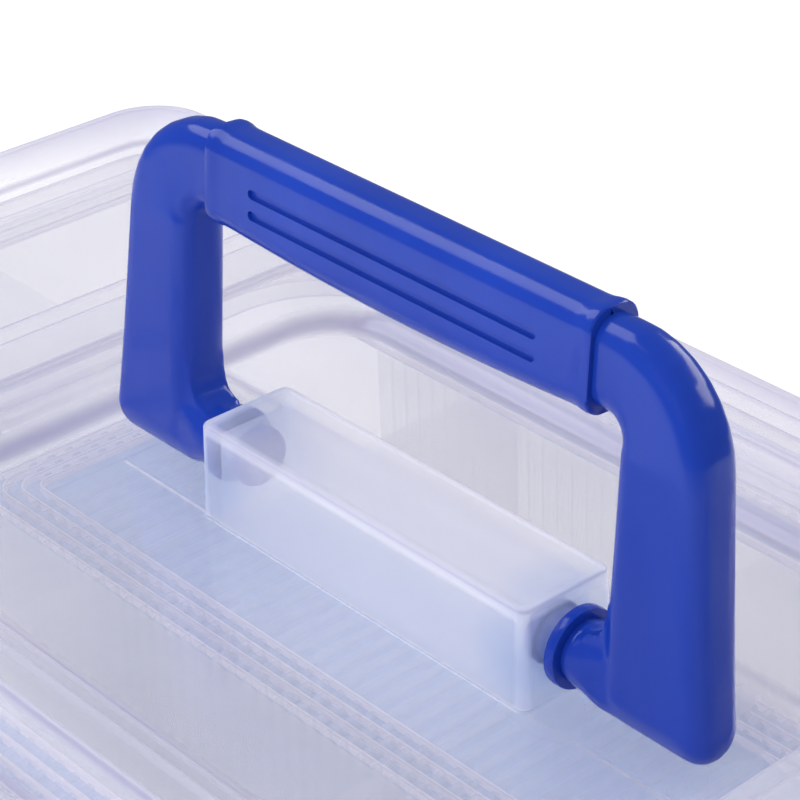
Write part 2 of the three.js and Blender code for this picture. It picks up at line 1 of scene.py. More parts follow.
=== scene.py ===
# %% [markdown]
# Sewing box with trays: a clear moulded tub and lid, a blue carry handle that folds flat, a grip
# sleeve, two end latches and two trays with dividers. The engineering model is loaded first. It
# moves. The pieces made below stand in for its plain solids and ride on its bodies. +Z is up, +X
# runs along the handle, and the front looks to -Y. Blender counts in metres. The pieces are drawn in
# millimetres, and the helpers that make them turn these into metres.

import math

import bpy
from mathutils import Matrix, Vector


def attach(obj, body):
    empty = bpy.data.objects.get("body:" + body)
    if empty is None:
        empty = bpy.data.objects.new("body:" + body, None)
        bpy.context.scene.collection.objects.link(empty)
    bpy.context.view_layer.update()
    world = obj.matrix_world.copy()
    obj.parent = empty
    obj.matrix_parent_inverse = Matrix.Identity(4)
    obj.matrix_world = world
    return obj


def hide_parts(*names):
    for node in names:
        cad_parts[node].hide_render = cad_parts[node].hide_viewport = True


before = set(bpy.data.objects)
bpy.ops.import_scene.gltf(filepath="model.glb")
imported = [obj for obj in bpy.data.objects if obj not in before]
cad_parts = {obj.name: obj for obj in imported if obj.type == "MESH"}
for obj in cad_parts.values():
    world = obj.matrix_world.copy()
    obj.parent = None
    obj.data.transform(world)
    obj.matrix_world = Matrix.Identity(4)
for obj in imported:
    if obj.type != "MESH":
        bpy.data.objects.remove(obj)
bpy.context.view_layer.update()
scene = bpy.context.scene
MM = 0.001


def mm(sizes):
    """Millimetres to metres."""
    return [size * MM for size in sizes]


# %% [markdown]
# A material is a small graph, and so is the world. Nodes make values, and links carry them from one
# node to the next. These helpers add the kinds of node that are wanted over and over.

# %% Helpers for nodes
def tree_of(name):
    """A new material with an empty graph, and the two calls that fill it."""
    mat = bpy.data.materials.new(name)
    mat.use_nodes = True
    mat.node_tree.nodes.clear()
    return mat, mat.node_tree.nodes.new, mat.node_tree.links.new


def feed(link, socket, value):
    """Gives a socket a number, or the output of another node."""
    if isinstance(value, (int, float)):
        socket.default_value = value
    else:
        link(value, socket)


def maths(new, link, kind, first, second=None, third=None, clamp=False):
    """A math node. Each input is a number or the output of another node."""
    node = new("ShaderNodeMath")
    node.operation = kind
    node.use_clamp = clamp
    for socket, value in zip(node.inputs, (first, second, third)):
        if value is not None:
            feed(link, socket, value)
    return node.outputs[0]


def mixed(new, link, share, first, second):
    """The first shader, and the second one by its share."""
    node = new("ShaderNodeMixShader")
    feed(link, node.inputs[0], share)
    link(first, node.inputs[1])
    link(second, node.inputs[2])
    return node.outputs[0]


# %% [markdown]
# The lamps are those of a plain studio: a wide soft sheet of light from the upper left, a cooler one
# from the front that no highlight shows, and a warm strip behind. Lamps this large give the plastic
# long soft highlights and keep shadows faint.

# %% Lamps
def lamp(name, place, aim, width, height, power, colour):
    data = bpy.data.lights.new(name, "AREA")
    data.shape = "RECTANGLE"
    data.size, data.size_y, data.energy = width, height, power
    data.color = colour
    obj = bpy.data.objects.new(name, data)
    scene.collection.objects.link(obj)
    obj.location = place
    obj.rotation_euler = (Vector(aim) - Vector(place)).to_track_quat("-Z", "Y").to_euler()
    return obj


lamp("softbox_left", place=(-0.95, -0.35, 1.25), aim=(0, 0, 0.12),
     width=0.9, height=0.9, power=8.1, colour=(0.97, 0.98, 1.0))
front = lamp("softbox_front", place=(0.1, -1.35, 0.8), aim=(0, 0, 0.14),
             width=1.0, height=0.7, power=12.0, colour=(0.78, 0.86, 1.0))
front.visible_glossy = False
lamp("strip_back", place=(0.2, 1.1, 0.8), aim=(0, 0, 0.15),
     width=1.2, height=0.4, power=9.0, colour=(1.0, 0.96, 0.90))

# %% [markdown]
# The world lights the box evenly from all round. The eye sees it as plain white, straight on and
# through clear walls. In a gloss it is much dimmer, because a mirrored white world would lay a grey
# veil over the blue.

# %% World
world = bpy.data.worlds.new("studio")
scene.world = world
world.use_nodes = True
world.node_tree.nodes.clear()
new, link = world.node_tree.nodes.new, world.node_tree.links.new


def even_light(strength, colour):
    node = new("ShaderNodeBackground")
    node.inputs["Color"].default_value = (*colour, 1)
    node.inputs["Strength"].default_value = strength
    return node.outputs[0]


lighting = even_light(0.60, (0.97, 0.975, 1.0))
white = even_light(1.0, (1, 1, 1))
dim = even_light(0.22, (0.92, 0.94, 1.0))
ray = new("ShaderNodeLightPath").outputs
seen = maths(new, link, "ADD", ray["Is Camera Ray"], ray["Is Transmission Ray"], clamp=True)
seen_or_lighting = mixed(new, link, seen, lighting, white)
world_out = new("ShaderNodeOutputWorld")
link(mixed(new, link, ray["Is Glossy Ray"], seen_or_lighting, dim), world_out.inputs["Surface"])

# %% [markdown]
# The floor is a wide sheet of pale paper, half a millimetre under the box. Far out, it gives way to
# the white behind it, so that no edge and no grey horizon shows in a low view.

# %% Floor
floor_drop = 0.0005
fades_from, gone_at = 0.55, 1.5

bpy.ops.mesh.primitive_plane_add(size=6, location=(0, 0, -floor_drop))
floor = bpy.context.object
floor.name = "floor"
floor_mat, new, link = tree_of("floor_paper")
paper = new("ShaderNodeBsdfPrincipled")
paper.inputs["Base Color"].default_value = (0.93, 0.93, 0.94, 1)
paper.inputs["Roughness"].default_value = 0.9
away = new("ShaderNodeVectorMath")
away.operation = "LENGTH"
link(new("ShaderNodeTexCoord").outputs["Object"], away.inputs[0])
fade = new("ShaderNodeMapRange")
fade.interpolation_type = "SMOOTHSTEP"
fade.inputs["From Min"].default_value = fades_from
fade.inputs["From Max"].default_value = gone_at
link(away.outputs["Value"], fade.inputs["Value"])
gone = new("ShaderNodeBsdfTransparent")
floor_out = new("ShaderNodeOutputMaterial")
paper_or_gone = mixed(new, link, fade.outputs["Result"], paper.outputs[0], gone.outputs[0])
link(paper_or_gone, floor_out.inputs["Surface"])
floor.data.materials.append(floor_mat)

# %% [markdown]
# The camera stands to the right of the front corner and looks down at the handle, from close by,
# with a long lens, so that parallel edges stay nearly parallel. Many clear walls lie one behind the
# other, so a ray of light may pass more of them than usual before it is given up.

# %% Camera
camera_data = bpy.data.cameras.new("camera")
camera = bpy.data.objects.new("camera", camera_data)
scene.collection.objects.link(camera)
scene.camera = camera
camera.location = (0.285022, -0.240103, 0.404124)
camera.rotation_euler = [math.radians(a) for a in (60.27485, 0.92973, 47.44457)]
camera_data.sensor_width = 36.0
camera_data.lens = 122.7537
camera_data.shift_x = -0.089739
camera_data.shift_y = -0.013383
camera_data.clip_start = 0.01
scene.view_settings.view_transform = "Standard"
scene.cycles.transparent_max_bounces = 40
scene.cycles.diffuse_bounces = 12
scene.cycles.max_bounces = 24

# %% [markdown]
# An operator acts on all that is selected. So each helper starts from an empty selection and picks
# what it works on.

# %% Picking and changing a piece
def clear_selection():
    if bpy.context.object and bpy.context.object.mode == "EDIT":
        bpy.ops.object.mode_set(mode="OBJECT")
    bpy.ops.object.select_all(action="DESELECT")


def make_active(piece):
    clear_selection()
    piece.select_set(True)
    bpy.context.view_layer.objects.active = piece


def apply_modifier(piece, kind, **settings):
    make_active(piece)
    modifier = piece.modifiers.new(kind.lower(), kind)
    for key, value in settings.items():
        setattr(modifier, key, value)
    bpy.ops.object.modifier_apply(modifier=modifier.name)


def edit_all(piece, operator, **settings):
    """Runs one edit mode operator on the whole piece."""
    make_active(piece)
    bpy.ops.object.mode_set(mode="EDIT")
    bpy.ops.mesh.select_all(action="SELECT")
    operator(**settings)
    bpy.ops.object.mode_set(mode="OBJECT")


def turn(piece, axis, degrees, centre=(0, 0, 0)):
    """Turns the piece. (The operator counts the other way round, hence the minus.)"""
    edit_all(piece, bpy.ops.transform.rotate, value=-math.radians(degrees), orient_axis=axis,
             center_override=mm(centre))


def shift(piece, by):
    edit_all(piece, bpy.ops.transform.translate, value=mm(by))
    return piece


# %% [markdown]
# Most of this box is one kind of shape: a rounded rectangle that grows, shrinks and turns over as it
# goes up and down. Tub, lid and trays are all such shapes, and so is each slice of the handle. So one
# way of working makes nearly all of it. A plane is added at the size of one slice, its corners are
# bevelled round, and it becomes a ring. When all rings lie in place, each is bridged to the next, and
# the skin closes.

# %% Rings and skins
def lay_ring(piece, half_a, half_b, radius, place, tilt, steps):
    """Adds one ring to the piece that is being edited. tilt turns it about +Y, in degrees. (The turn
    operator counts the other way round, hence the minus.)"""
    bpy.ops.mesh.select_all(action="DESELECT")
    bpy.ops.mesh.primitive_plane_add(size=2, location=(0, 0, 0))
    bpy.ops.transform.resize(value=(half_a * MM, half_b * MM, 1), center_override=(0, 0, 0))
    bpy.ops.mesh.bevel(offset=radius * MM, segments=steps, affect="VERTICES", clamp_overlap=False)
    bpy.ops.transform.rotate(value=-math.radians(tilt), orient_axis="Y", center_override=(0, 0, 0))
    bpy.ops.transform.translate(value=mm(place))
    piece.vertex_groups.active_index = piece.vertex_groups.new(name="ring").index
    bpy.ops.object.vertex_group_assign()
    bpy.ops.mesh.delete(type="ONLY_FACE")


def pick_rings(piece, *numbers):
    bpy.ops.mesh.select_all(action="DESELECT")
    for number in numbers:
        piece.vertex_groups.active_index = number
        bpy.ops.object.vertex_group_select()


def skin(name, rings, steps=8, tube=False, pale=None):
    """One closed skin over rings of (half_a, half_b, radius, (x, y, z), tilt). A tube joins its last
    ring to its first. Any other skin gets a lid on its first and last ring. pale holds, for each ring,
    how much it belongs to a rounded edge, which the clear plastic shows as a paler line."""
    clear_selection()
    mesh = bpy.data.meshes.new(name)
    piece = bpy.data.objects.new(name, mesh)
    scene.collection.objects.link(piece)
    make_active(piece)
    bpy.ops.object.mode_set(mode="EDIT")
    bpy.ops.mesh.select_mode(type="VERT")
    for ring in rings:
        lay_ring(piece, *ring, steps)
    count = len(rings)
    for number in range(count if tube else count - 1):
        pick_rings(piece, number, (number + 1) % count)
        bpy.ops.mesh.bridge_edge_loops()
    if not tube:
        for number in (0, count - 1):
            pick_rings(piece, number)
            bpy.ops.mesh.edge_face_add()
    bpy.ops.mesh.select_all(action="SELECT")
    bpy.ops.mesh.normals_make_consistent(inside=False)
    bpy.ops.object.mode_set(mode="OBJECT")
    if pale:
        edge = mesh.attributes.new("edge", "FLOAT", "POINT")
        edge.data.foreach_set("value", [pale[v.groups[0].group] for v in mesh.vertices])
    piece.vertex_groups.clear()
    return piece


# %% [markdown]
# A list of level rings reads like the profile on a drawing. Moulded plastic has no sharp corners, so
# each corner of the profile is softened: a few rings on a small curve take its place. These rings are
# marked as edge, for the material.

# %% Mouldings
level_gap = 0.02
least_radius = 0.8


def soften(profile, tube=False, arc=4):
    """Replaces each corner (numbers, size) of a profile by points on a small curve, and says how deep
    in the curve each point lies, 0 to 1. size is how far the curve starts from the corner. A third
    number weakens or drops the pale line that the corner shows, and a fourth is its least paleness."""
    out = []
    for i, (corner, size, *line) in enumerate(profile):
        pale = line[0] if line else 1.0
        least = line[1] if len(line) > 1 else 0.0
        before = profile[i - 1][0] if i or tube else None
        after = profile[(i + 1) % len(profile)][0] if i + 1 < len(profile) or tube else None
        if not size or before is None or after is None:
            out.append((tuple(corner), 0.0))
            continue
        here, ends = Vector(corner), []
        for other in (before, after):
            way = Vector(other) - here
            ends.append(here + way * min(size / way.length, 0.45))
        for k in range(arc + 1):
            t = k / arc
            point = ends[0] * (1 - t) ** 2 + here * 2 * t * (1 - t) + ends[1] * t * t
            out.append((tuple(point), max(least, pale * math.sin(math.pi * t))))
    return out


def moulding(name, profile, steps=12, tube=False):
    """A skin over level rings. The profile's corners are ((z, half_x, half_y, radius), size)."""
    rings, pale, level = [], [], None
    for (z, x, y, r), bright in soften(profile, tube):
        if level is not None and abs(z - level) < level_gap / 2:
            z = level + level_gap
        level = z
        rings.append((x, y, min(max(r, least_radius), x - 0.05, y - 0.05), (0, 0, z), 0))
        pale.append(bright)
    return skin(name, rings, steps, tube, pale)


# %% [markdown]
# Three more ways to make a piece: a block, an outline drawn out along Y, and a profile spun round an
# axis, as on a lathe. The last two start as one point, which is pushed from corner to corner.

# %% Blocks, outlines and turned shapes
def block(name, low, high, round_by=0.0):
    """A box between two corners, its edges bevelled round."""
    low, high = mm(low), mm(high)
    clear_selection()
    bpy.ops.mesh.primitive_cube_add(size=1, location=(0, 0, 0))
    piece = bpy.context.object
    piece.name = name
    size = [b - a for a, b in zip(low, high)]
    middle = [(a + b) / 2 for a, b in zip(low, high)]
    bpy.ops.object.mode_set(mode="EDIT")
    bpy.ops.transform.resize(value=size, center_override=(0, 0, 0))
    bpy.ops.transform.translate(value=middle)
    if round_by:
        bpy.ops.mesh.bevel(offset=round_by * MM, segments=2, affect="EDGES")
    bpy.ops.object.mode_set(mode="OBJECT")
    return piece


def drawn_line(name, start, moves):
    """A new piece that is one line from the start, move by move. It stays open, all of it selected."""
    clear_selection()
    bpy.ops.mesh.primitive_plane_add(size=1, location=(0, 0, 0))
    piece = bpy.context.object
    piece.name = name
    bpy.ops.object.mode_set(mode="EDIT")
    bpy.ops.mesh.select_all(action="SELECT")
    bpy.ops.mesh.merge(type="CENTER")
    bpy.ops.transform.translate(value=start)
    for move in moves:
        bpy.ops.mesh.extrude_region_move(TRANSFORM_OT_translate={"value": move})
    bpy.ops.mesh.select_all(action="SELECT")
    return piece


def outline_solid(name, points, y0, y1, round_by=0.0):
    """An outline of (x, z) points, drawn out along Y."""
    points = [mm(point) for point in points]
    y0, y1 = mm((y0, y1))
    moves = [(b[0] - a[0], 0, b[1] - a[1]) for a, b in zip(points, points[1:])]
    piece = drawn_line(name, (points[0][0], y0, points[0][1]), moves)
    bpy.ops.mesh.edge_face_add()
    bpy.ops.mesh.extrude_region_move(TRANSFORM_OT_translate={"value": (0, y1 - y0, 0)})
    bpy.ops.mesh.select_all(action="SELECT")
    bpy.ops.mesh.normals_make_consistent(inside=False)
    if round_by:
        bpy.ops.mesh.bevel(offset=round_by * MM, segments=2, affect="EDGES")
    bpy.ops.object.mode_set(mode="OBJECT")
    return piece


def turned(name, profile, centre, axis, steps=48):
    """A turned shape: (along, radius) points spun round an axis, "X" or "Y", through a centre."""
    line = Vector((1, 0, 0)) if axis == "X" else Vector((0, 1, 0))
    spots = [line * along + Vector((0, 0, radius)) for along, radius in (mm(point) for point in profile)]
    moves = [b - a for a, b in zip(spots, spots[1:])]
    piece = drawn_line(name, spots[0], moves)
    bpy.ops.mesh.spin(steps=steps, angle=2 * math.pi, center=(0, 0, 0), axis=line)
    bpy.ops.mesh.select_all(action="SELECT")
    bpy.ops.mesh.remove_doubles(threshold=1e-6)
    bpy.ops.mesh.normals_make_consistent(inside=False)
    bpy.ops.transform.translate(value=mm(centre))
    bpy.ops.object.mode_set(mode="OBJECT")
    return piece


# %% [markdown]
# Pieces are joined in two ways. A boolean makes one solid of two, or cuts one out of the other, and
# costs time. A plain join puts meshes into one object as they are, which is enough for ribs on a
# floor. Booleans leave points that all but touch, and these are welded.

# %% Joining and finishing
weld_gap = 0.02 * MM


def combine(piece, other, how):
    """Adds another piece to this one, or cuts it out, and removes the other."""
    apply_modifier(piece, "BOOLEAN", object=other, operation=how, solver="EXACT")
    bpy.data.objects.remove(other)


def weld(piece):
    """Merges points that all but touch, and drops faces that have no area."""
    edit_all(piece, bpy.ops.mesh.remove_doubles, threshold=weld_gap)
    edit_all(piece, bpy.ops.mesh.dissolve_degenerate, threshold=weld_gap)


def join(pieces):
    """Makes one object of several, as it is."""
    make_active(pieces[0])
    for other in pieces[1:]:
        other.select_set(True)
    bpy.ops.object.join()
    return pieces[0]


def finish_piece(piece, material, body, *stands_for, slot, weigh=True):
    """Smooths what should look smooth, gives the piece its material, hangs it on its body and hides the
    parts it stands for.
    """
    make_active(piece)
    bpy.ops.object.shade_smooth_by_angle(angle=math.radians(35))
    if weigh:
        apply_modifier(piece, "WEIGHTED_NORMAL", keep_sharp=True)
    piece.data.materials.clear()
    piece.data.materials.append(material)
    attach(piece, body)
    if stands_for:
        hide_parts(*stands_for)
    print(piece.name, len(piece.data.polygons), "faces")


# %% [markdown]
# Real plastic is never even. Noise makes it cloudy or rippled, and masks say where a finish changes.
# Both read Object coordinates, so they stay with the piece when it moves.

# %% Noise and masks
edge_rise = 1100


def surface_noise(new, link, vector, scale, detail, stretch=(1, 1, 1)):
    place = new("ShaderNodeMapping")
    place.inputs["Scale"].default_value = stretch
    link(vector, place.inputs["Vector"])
    noise = new("ShaderNodeTexNoise")
    noise.inputs["Scale"].default_value = scale
    noise.inputs["Detail"].default_value = detail
    link(place.outputs["Vector"], noise.inputs["Vector"])
    return noise.outputs["Fac"]


def near_edges(new, link, vector, limits):
    """1 where a place lies in the outer wall of a box with the given half sizes, on at least two sides.
    On a face of the box that is a band along its edges, as wide as the wall behind it is thick. Its
    border is soft: it rises by edge_rise per metre, so from 0 to 1 in a little under a millimetre."""
    apart = new("ShaderNodeSeparateXYZ")
    link(vector, apart.inputs[0])
    total = None
    for axis, limit in zip("XYZ", limits):
        reach = maths(new, link, "ABSOLUTE", apart.outputs[axis])
        over = maths(new, link, "SUBTRACT", reach, limit)
        over = maths(new, link, "MULTIPLY", over, edge_rise, clamp=True)
        total = over if total is None else maths(new, link, "ADD", total, over)
    return maths(new, link, "SUBTRACT", total, 1, clamp=True)


def near_place(new, link, vector, place, far):
    """1 at the place and at its mirror images, falling to 0 where the distance is far."""
    mirrored = new("ShaderNodeVectorMath")
    mirrored.operation = "ABSOLUTE"
    link(vector, mirrored.inputs[0])
    gap = new("ShaderNodeVectorMath")
    gap.operation = "DISTANCE"
    link(mirrored.outputs["Vector"], gap.inputs[0])
    gap.inputs[1].default_value = place
    return maths(new, link, "MULTIPLY_ADD", gap.outputs["Value"], -1 / far, 1, clamp=True)


def drawn_towards(new, link, share, colour, other):
    """The colour, a fixed one or an output, drawn towards the other one where the share is high."""
    node = new("ShaderNodeMix")
    node.data_type = "RGBA"
    link(share, node.inputs[0])
    if isinstance(colour, tuple):
        node.inputs[6].default_value = (*colour, 1)
    else:
        link(colour, node.inputs[6])
    node.inputs[7].default_value = (*other, 1)
    return node.outputs[2]


def rippled(new, link, height, strength, distance):
    """A surface direction that leans with the slopes of the height."""
    bump = new("ShaderNodeBump")
    bump.inputs["Strength"].default_value = strength
    bump.inputs["Distance"].default_value = distance
    link(height, bump.inputs["Height"])
    return bump.outputs["Normal"]


# %% [markdown]
# Clear moulded polypropylene is never quite clear. Light goes through it, but a part is scattered, and
# the scattered part is a little blue in front and a little warm behind, as with thin milk. So the
# wall is a mix: some transparent, some diffuse (light that turns back), some translucent (light that
# goes on). How milky it is drifts slowly over the surface. Where an edge is rounded, the eye looks
# along the wall and not through it, so the edge attribute makes these places milkier. A gloss that
# grows towards grazing angles lies on top, broken by faint ripples.

# %% Clear plastic
lilac = (0.55, 0.53, 0.69)
# painted glow: the pale blue that the snap heads inside the boss would shed into its milk
painted_stub_glow = (0.36, 0.57, 0.95)
cloud_swing = 0.16
most_milky = 0.93
gloss_facing, gloss_slanting = 0.04, 0.5


def boss_milk_and_painted_glow(new, link, coord, boss):
    """How much milkier the boss is than the rest, and where it shows the snap heads' painted glow."""
    apart = new("ShaderNodeSeparateXYZ")
    link(coord, apart.inputs[0])
    half_long, half_deep, foot = boss["outer"]
    reach_x = maths(new, link, "ABSOLUTE", apart.outputs["X"])
    reach_y = maths(new, link, "ABSOLUTE", apart.outputs["Y"])
    in_x = maths(new, link, "LESS_THAN", reach_x, half_long)
    in_y = maths(new, link, "LESS_THAN", reach_y, half_deep)
    above = maths(new, link, "GREATER_THAN", apart.outputs["Z"], foot)
    inside = maths(new, link, "MULTIPLY", maths(new, link, "MULTIPLY", in_x, in_y), above)
    band = near_edges(new, link, coord, boss["wall"])
    milky = maths(new, link, "MULTIPLY_ADD", band, boss["band"], boss["haze"])
    # painted glow: near each snap head the milk is drawn to pale blue, as if lit by the head
    painted_glow_share = maths(new, link, "MULTIPLY", inside, near_place(new, link, coord, *boss["stub"]))
    return maths(new, link, "MULTIPLY", milky, inside), painted_glow_share


def moulded_gloss(new, link, coord, below):
    """The gloss on a clear wall, more of it where the wall is seen at a slant."""
    gloss = new("ShaderNodeBsdfGlossy")
    gloss.inputs["Color"].default_value = (0.96, 0.97, 1.0, 1)
    gloss.inputs["Roughness"].default_value = 0.12
    ripple = surface_noise(new, link, coord, 60, 2)
    link(rippled(new, link, ripple, 0.03, 0.0002), gloss.inputs["Normal"])
    slant = new("ShaderNodeLayerWeight")
    slant.inputs["Blend"].default_value = 0.5
    steep = maths(new, link, "POWER", slant.outputs["Facing"], 5)
    share = maths(new, link, "MULTIPLY_ADD", steep, gloss_slanting, gloss_facing)
    return mixed(new, link, share, below, gloss.outputs[0])


def clear_plastic(name, haze, front, behind, edge_haze=0.45, boss=None):
    """haze is how milky the wall is, front and behind are the colours of the milk."""
    mat, new, link = tree_of(name)
    coord = new("ShaderNodeTexCoord").outputs["Object"]
    edge = new("ShaderNodeAttribute")
    edge.attribute_name = "edge"
    cloud = surface_noise(new, link, coord, 16, 3)
    amount = maths(new, link, "MULTIPLY_ADD", cloud, cloud_swing, haze - cloud_swing / 2)
    amount = maths(new, link, "MULTIPLY_ADD", edge.outputs["Fac"], edge_haze, amount)
    if boss:
        more, painted_glow_share = boss_milk_and_painted_glow(new, link, coord, boss)
        amount = maths(new, link, "ADD", amount, more)
    amount = maths(new, link, "MINIMUM", amount, most_milky)
    through = new("ShaderNodeBsdfTransparent")
    through.inputs["Color"].default_value = (0.988, 0.987, 0.987, 1)
    milk = []
    for kind, colour in (("ShaderNodeBsdfDiffuse", front), ("ShaderNodeBsdfTranslucent", behind)):
        shown = drawn_towards(new, link, edge.outputs["Fac"], colour, lilac)
        # inside the boss, near each snap head, the milk's colour is drawn to the painted blue glow
        if boss:
            shown = drawn_towards(new, link, painted_glow_share, shown, painted_stub_glow)
        shader = new(kind)
        link(shown, shader.inputs["Color"])
        milk.append(shader.outputs[0])
    body = mixed(new, link, 0.5, *milk)
    wall = mixed(new, link, amount, through.outputs[0], body)
    out = new("ShaderNodeOutputMaterial")
    link(moulded_gloss(new, link, coord, wall), out.inputs["Surface"])
    return mat


# %% [markdown]
# The tub and the lower tray are the clearest. The upper tray, the dividers and the lid are milkier, and
# the lid's boss is milkier still: its walls show as paler bands round each face, and a pale blue glow
# of the snap heads inside is painted into the milk round them. The slotted frames of the upper tray
# are seen through the lid, so their lines are nearly white. The web below them is blue, and that blue
# is painted shade, the darker look down into the slots.

# %% The clear finishes
boss_look = {
    "outer": (0.0405, 0.0104, 0.1553),
    "wall": (0.0374, 0.0077, 0.1706),
    "haze": 0.08,
    "band": 0.27,
    # where the painted glow of each snap head sits, and how far out it reaches
    "stub": ((0.038, 0, 0.1625), 0.0145),
}
clear_lid = clear_plastic("clear_lid", 0.25, (0.90, 0.89, 0.965), (0.94, 0.92, 0.935), boss=boss_look)
clear_tub = clear_plastic("clear_tub", 0.12, (0.88, 0.885, 0.93), (0.94, 0.925, 0.92), 0.35)
clear_tray = clear_plastic("clear_tray", 0.20, (0.86, 0.88, 0.96), (0.93, 0.925, 0.95), 0.4)
comb_line = clear_plastic("comb_line", 0.74, (0.97, 0.93, 0.955), (0.97, 0.93, 0.95), 0.1)
# painted shade: the bluish web stands for the darker look down into the comb's slots
comb_painted_shade = clear_plastic("comb_painted_shade", 0.60, (0.56, 0.70, 0.92), (0.60, 0.74, 0.94), 0.1)
comb_rib = clear_plastic("comb_rib", 0.17, (0.80, 0.84, 0.95), (0.80, 0.86, 0.95), 0.1)

# %% [markdown]
# The blue plastic is opaque and glossy. Its colour drifts a little, as pigment does in the mould. Flow
# marks run up the handle, a fine orange peel breaks the highlights, and there are small scuffs where
# the gloss is duller.

# %% Blue plastic
deep_blue, bright_blue = (0.0080, 0.037, 0.325, 1), (0.0113, 0.051, 0.405, 1)
polished, scuffed = 0.16, 0.25


def blue_plastic(name, along):
    """along is the noise scale on each axis. A small one stretches the marks that way."""
    mat, new, link = tree_of(name)
    coord = new("ShaderNodeTexCoord").outputs["Object"]
    drift = surface_noise(new, link, coord, 28, 4, along)
    ramp = new("ShaderNodeValToRGB")
    for stop, place, colour in zip(ramp.color_ramp.elements, (0.3, 0.72), (deep_blue, bright_blue)):
        stop.position = place
        stop.color = colour
    link(drift, ramp.inputs["Fac"])
    scuffs = surface_noise(new, link, coord, 90, 5, (1, 1, 0.5))
    rough = new("ShaderNodeMapRange")
    rough.inputs["From Min"].default_value = 0.45
    rough.inputs["From Max"].default_value = 0.75
    rough.inputs["To Min"].default_value = polished
    rough.inputs["To Max"].default_value = scuffed
    link(scuffs, rough.inputs["Value"])
    peel = surface_noise(new, link, coord, 420, 2)
    relief = maths(new, link, "MULTIPLY_ADD", drift, 0.5, peel)
    surface = new("ShaderNodeBsdfPrincipled")
    surface.inputs["IOR"].default_value = 1.46
    surface.inputs["Specular IOR Level"].default_value = 0.36
    link(ramp.outputs["Color"], surface.inputs["Base Color"])
    link(rough.outputs["Result"], surface.inputs["Roughness"])
    link(rippled(new, link, relief, 0.05, 0.0005), surface.inputs["Normal"])
    out = new("ShaderNodeOutputMaterial")
    link(surface.outputs[0], out.inputs["Surface"])
    return mat


blue = blue_plastic("blue", (1, 1, 0.35))

# %% [markdown]
# The handle leans back a little as it stands, about the axis through its two stubs. So handle and
# sleeve are modelled upright, which is easier to measure, and leant back at the end.

# %% Lean
pivot_z = 163.9
lean = 4.5


def lean_back(piece):
    turn(piece, "X", -lean, (0, 0, pivot_z))


# %% [markdown]
# The carry handle is a flat arch: slices much wider in its own plane than they are thick, so that it
# can lie in the lid's recess. The legs widen towards the foot, and the neck of each stub swells out
# of the leg without a crease. Here is the arch, slice by slice, with its foot drawn in to a dome.

# %% Slices of the handle
leg_inside = 50.2
bar_rise = 49.8
foot_drop = 6.9
bend_radius = 11.0
leg_foot, leg_top = (22.8, 10.2), (17.0, 10.4)
bar_size = (14.8, 8.2)
bar_core = (bar_size[0] - 1.2, bar_size[1] - 1.8)
leg_corner, core_corner = 3.6, 3.0


def between(a, b, t):
    return a + (b - a) * t


def handle_slices():
    """(x, z, tilt, width, depth, corner) from the right foot up and over to the middle of the bar."""
    foot_z, turn_z = -foot_drop, bar_rise - bend_radius
    dome = ((0, 8.4), (0.4, 5.6), (1.1, 3.6), (2.1, 1.9), (3.4, 0.8), (5.2, 0))
    stations = [(foot_z + rise, slim) for rise, slim in dome]
    stations += [(between(foot_z, turn_z, t), 0) for t in (0.22, 0.34, 0.46, 0.6, 0.74, 0.88, 1.0)]
    slices = []
    for z, slim in stations:
        t = (z - foot_z) / (turn_z - foot_z)
        width = between(leg_foot[0], leg_top[0], t**0.8)
        depth = between(leg_foot[1], leg_top[1], t)
        slices.append((leg_inside + width / 2, z, 0, width - slim, depth - slim, leg_corner))
    bend_x = leg_inside + leg_top[0] / 2 - bend_radius
    for k in range(1, 9):
        t = k / 8
        angle = t * math.pi / 2
        x, z = bend_x + bend_radius * math.cos(angle), turn_z + bend_radius * math.sin(angle)
        width, depth = (between(leg_top[i], bar_size[i], t) for i in (0, 1))
        slices.append((x, z, -90 * t, width, depth, leg_corner))
    for x in (20, 0):
        slices.append((x, bar_rise, -90, *bar_core, core_corner))
    return slices


# %% [markdown]
# Leg and neck are joined roughly, and the whole is rebuilt as one even skin by the Remesh modifier. A
# Smooth modifier then rounds the join as a mould would. The stub itself, with its flange and its snap
# head, is a turned shape, and it is added after that, so that its rims stay crisp.

# %% Carry handle
rings = []
right = handle_slices()
for side, slices in ((1, right), (-1, reversed(right[:-1]))):
    for x, z, tilt, width, depth, corner in slices:
        corner = min(corner, width / 2 - 0.4, depth / 2 - 0.3)
        place = (side * x, 0, z + pivot_z)
        rings.append((width / 2, depth / 2, corner, place, tilt if side > 0 else -180 - tilt))
handle = skin("handle_body", rings, steps=5)

# x, half height, half depth and corner of the neck, which is round at the boss and boxy in the leg
neck = [(44.0, 5.6, 5.6, 5.5), (47.0, 5.8, 5.6, 5.5), (50.0, 6.3, 5.1, 3.8), (54.0, 6.6, 4.7, 3.8)]
neck.append((58.0, 6.2, 4.3, 3.8))
fillet = [(45.8, 0), (45.8, 5.4), (47.6, 5.9), (49.2, 7.2), (50.0, 9.2), (50.4, 13.0)]
fillet += [(54.0, 13.0), (54.0, 0)]
fillet_half = 3.9
extras = []
for side in (1, -1):
    rings = []
    for x, half_high, half_deep, round_by in neck:
        rings.append((half_high, half_deep, round_by, (side * x, 0, pivot_z), -90))
    extras.append(skin("neck", rings, steps=5))
    outline = [(side * x, pivot_z + z) for x, z in fillet]
    extras.append(outline_solid("fillet", outline, -fillet_half, fillet_half))
handle = join([handle, *extras])
apply_modifier(handle, "REMESH", mode="VOXEL", voxel_size=0.55 * MM, use_smooth_shade=True)
apply_modifier(handle, "SMOOTH", factor=0.5, iterations=9)

